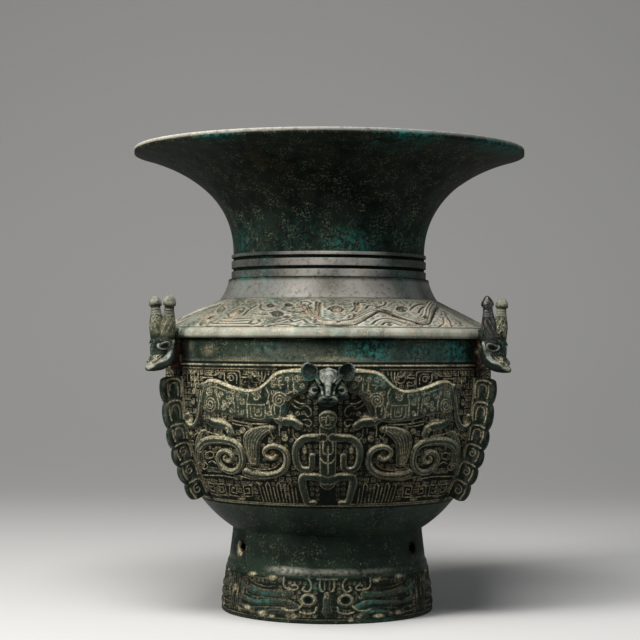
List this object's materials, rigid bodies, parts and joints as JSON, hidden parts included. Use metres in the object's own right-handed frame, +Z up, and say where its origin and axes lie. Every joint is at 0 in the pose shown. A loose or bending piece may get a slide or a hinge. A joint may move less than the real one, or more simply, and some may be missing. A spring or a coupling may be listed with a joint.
{
  "type": "bronze zun wine vessel",
  "caption": "Tall round bronze wine vessel with a flared trumpet mouth, sloping shoulder with dragon heads, relief belly with tiger heads and flanges, and a pierced ring foot.",
  "frame": {"origin": "on the vessel's axis, on the surface that its ring foot stands on", "axes": "+Z up along the vessel's axis, -Y towards the front, where one tiger head faces"},
  "size_m": [0.43, 0.4298, 0.505],
  "materials": {
    "patinated_bronze": "dark green-black patina, slightly glossy, pale earth in the recesses",
    "horn_bronze": "paler grey-green patina",
    "inner_bronze": "matt green-brown patina inside the vessel",
    "fired_clay": "matt reddish-brown fired clay core"
  },
  "bodies": {
    "root": {"mouth_and_neck": "patinated_bronze", "shoulder": "patinated_bronze", "belly": "patinated_bronze", "ring_foot": "patinated_bronze", "dragon_head_right": "patinated_bronze", "dragon_head_left": "patinated_bronze", "dragon_head_back": "patinated_bronze", "dragon_horn_right_a": "horn_bronze", "dragon_horn_right_b": "horn_bronze", "dragon_horn_left_a": "horn_bronze", "dragon_horn_left_b": "horn_bronze", "dragon_horn_back_a": "horn_bronze", "dragon_horn_back_b": "horn_bronze", "dragon_lock_right": "inner_bronze", "dragon_lock_left": "inner_bronze", "dragon_lock_back": "inner_bronze", "dragon_core_right": "fired_clay", "dragon_core_left": "fired_clay", "dragon_core_back": "fired_clay", "tiger_head_front": "patinated_bronze", "tiger_head_right": "patinated_bronze", "tiger_head_left": "patinated_bronze", "tiger_lock_front": "inner_bronze", "tiger_lock_right": "inner_bronze", "tiger_lock_left": "inner_bronze", "tiger_core_front": "fired_clay", "tiger_core_right": "fired_clay", "tiger_core_left": "fired_clay", "flange_right": "patinated_bronze", "flange_left": "patinated_bronze", "flange_back": "patinated_bronze", "floor_chaplets": "inner_bronze", "belly_chaplets": "inner_bronze", "neck_chaplets": "inner_bronze"}
  },
  "joints": []
}
